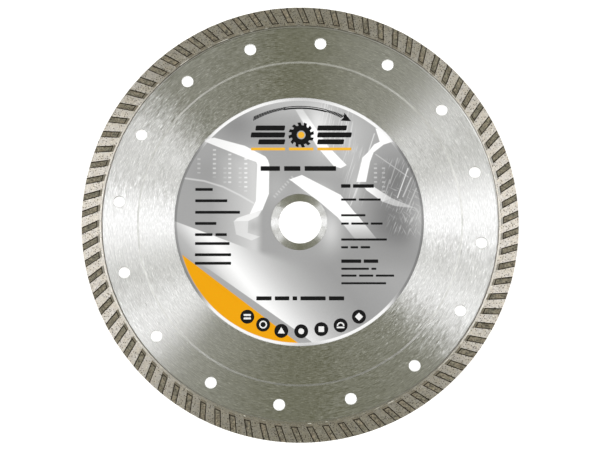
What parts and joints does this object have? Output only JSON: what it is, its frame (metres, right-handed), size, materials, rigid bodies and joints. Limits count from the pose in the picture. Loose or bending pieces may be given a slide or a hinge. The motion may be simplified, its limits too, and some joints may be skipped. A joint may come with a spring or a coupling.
{
  "type": "diamond blade",
  "caption": "Flat circular diamond blade: ground steel disc with cooling holes and a round label, edged by a continuous diamond rim with slanted turbo notches.",
  "frame": {"origin": "centre of the bore, on the middle plane of the steel core", "axes": "+Z along the spin axis towards the label side, +Y towards the top of the label, +X to the label's right"},
  "size_m": [0.2302, 0.2302, 0.0026],
  "materials": {
    "ground_steel": "circular ground, satin",
    "foot_metal": "sintered, faces ground",
    "sintered_matrix": "sintered, ribs ground, notches as pressed",
    "diamond": "small yellow-green crystals",
    "adhesive": "clear acrylic adhesive, off-white in the mass",
    "label_print": "satin printed film, silver-grey with an orange segment"
  },
  "bodies": {
    "root": {"steel_core": "ground_steel", "foot_ring": "foot_metal", "diamond_rim": "sintered_matrix", "diamond_grit": "diamond", "label_adhesive": "adhesive", "label_film": "label_print"}
  },
  "joints": []
}
